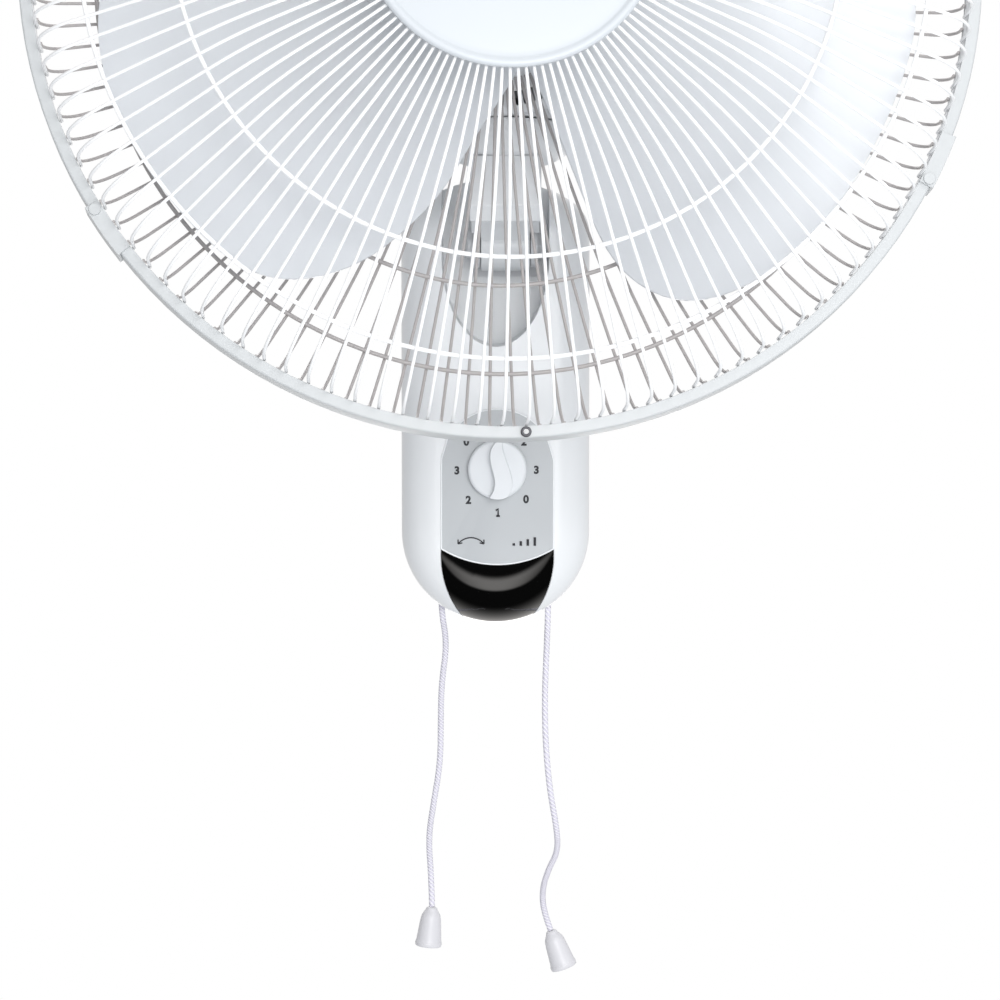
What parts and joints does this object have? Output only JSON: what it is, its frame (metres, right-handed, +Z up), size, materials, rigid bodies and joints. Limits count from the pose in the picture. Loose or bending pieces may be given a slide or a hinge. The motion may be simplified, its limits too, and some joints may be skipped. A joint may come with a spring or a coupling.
{
  "type": "wall mounted fan",
  "caption": "Wall mounted fan with a wire guard, swinging and tilting head, wall column, rotary knob and pull cords.",
  "frame": {"origin": "centre of the wall plate's screw pattern, on the wall plane", "axes": "+Z up, +Y into the wall, so the fan faces -Y; +X is to the right as someone facing the fan sees it"},
  "size_m": [0.4401, 0.32, 0.719],
  "materials": {
    "body": "satin",
    "panel": "satin",
    "black_gloss": "polished",
    "knob": "satin",
    "pull": "satin",
    "cord": "matte",
    "cap": "satin",
    "hoop": "satin",
    "guard": "gloss",
    "blade": "gloss",
    "steel": "satin",
    "cast": "matte",
    "laminations": "matte",
    "copper": "satin",
    "bronze": "satin",
    "spring": "satin",
    "inner_plastic": "matte",
    "rubber": "matte"
  },
  "bodies": {
    "column": {"wall_plate": "steel", "rear_housing": "body", "front_housing": "body", "column_screws": "steel", "control_panel": "panel", "lower_cap": "black_gloss", "cord_eyelets": "body", "mains_grommet": "rubber", "chassis_plate": "steel", "speed_switch": "inner_plastic", "swing_switch": "inner_plastic", "capacitor": "inner_plastic", "terminal_block": "inner_plastic", "hinge_bracket": "steel", "hinge_pin": "steel", "hinge_nut": "steel"},
    "knob": {"control_knob": "knob", "switch_spindle": "steel"},
    "lever": {"speed_lever": "inner_plastic"},
    "speed_pull": {"speed_rod": "steel", "speed_spring": "spring", "speed_cord": "cord", "speed_bell": "pull"},
    "swing_pull": {"swing_plunger": "steel", "swing_spring": "spring", "swing_cord": "cord", "swing_bell": "pull"},
    "neck": {"neck_shell": "body", "neck_core": "cast", "swing_shaft": "steel", "swing_washers": "inner_plastic"},
    "head": {"motor_support": "cast", "motor_front_bracket": "cast", "motor_rear_bracket": "cast", "shaft_bushes": "bronze", "motor_bolts": "steel", "stator_core": "laminations", "stator_windings": "copper", "motor_front_cover": "body", "motor_rear_cover": "body", "cover_screws": "steel", "swing_motor": "steel", "rear_guard_plate": "guard", "rear_guard_rings": "guard", "rear_guard_wires": "guard", "guard_nut": "body", "front_guard_plate": "guard", "front_guard_rings": "guard", "front_guard_wires": "guard", "guard_cap": "cap", "guard_screws": "steel", "guard_hoop": "hoop", "guard_clips": "hoop"},
    "rotor": {"rotor_core": "laminations", "motor_shaft": "steel", "drive_pin": "steel", "blade": "blade", "blade_nut": "body"},
    "crank": {"swing_crank": "inner_plastic"},
    "link": {"swing_link": "steel"}
  },
  "joints": [
    {"name": "tilt", "type": "hinge", "parent": "column", "child": "neck", "pos_m": [0.005, -0.07, 0.0805], "axis": [-1, 0, 0], "range_deg": [-36, 9]},
    {"name": "swing", "type": "hinge", "parent": "neck", "child": "head", "pos_m": [0.005, -0.15216, 0.09647], "axis": [0, 0.1908, 0.9816], "range_deg": [-42.75, 37.25]},
    {"name": "spin", "type": "hinge", "parent": "head", "child": "rotor", "pos_m": [0.00342, -0.22418, 0.20908], "axis": [0.048, -0.9805, 0.1906], "continuous": true},
    {"name": "crank_turn", "type": "hinge", "parent": "head", "child": "crank", "pos_m": [0.00337, -0.11014, 0.13465], "axis": [0, 0.1908, 0.9816], "range_deg": [-67.1, 77]},
    {"name": "link_turn", "type": "hinge", "parent": "crank", "child": "link", "pos_m": [-0.0058, -0.1098, 0.13459], "axis": [0, 0.1908, 0.9816], "range_deg": [-77, 67.1]},
    {"name": "knob_turn", "type": "hinge", "parent": "column", "child": "knob", "pos_m": [0.001, -0.096, -0.031], "axis": [0, -1, 0], "continuous": true},
    {"name": "lever_turn", "type": "hinge", "parent": "column", "child": "lever", "pos_m": [0.001, -0.0701, -0.031], "axis": [0, 1, 0], "range_deg": [0, 45.2]},
    {"name": "speed_pull", "type": "slide", "parent": "column", "child": "speed_pull", "axis": [0, 0, -1], "range_m": [0, 0.02], "stiffness_N_per_m": 300, "deforming": ["speed_spring"]},
    {"name": "swing_pull", "type": "slide", "parent": "column", "child": "swing_pull", "axis": [0, 0, -1], "range_m": [0, 0.006], "stiffness_N_per_m": 600, "deforming": ["swing_spring"]}
  ],
  "couplings": [
    {"joint": "crank_turn", "follows": "swing", "ratio": -1.8},
    {"joint": "link_turn", "follows": "swing", "ratio": 1.8},
    {"joint": "lever_turn", "follows": "speed_pull", "rad_per_m": 39.27}
  ]
}
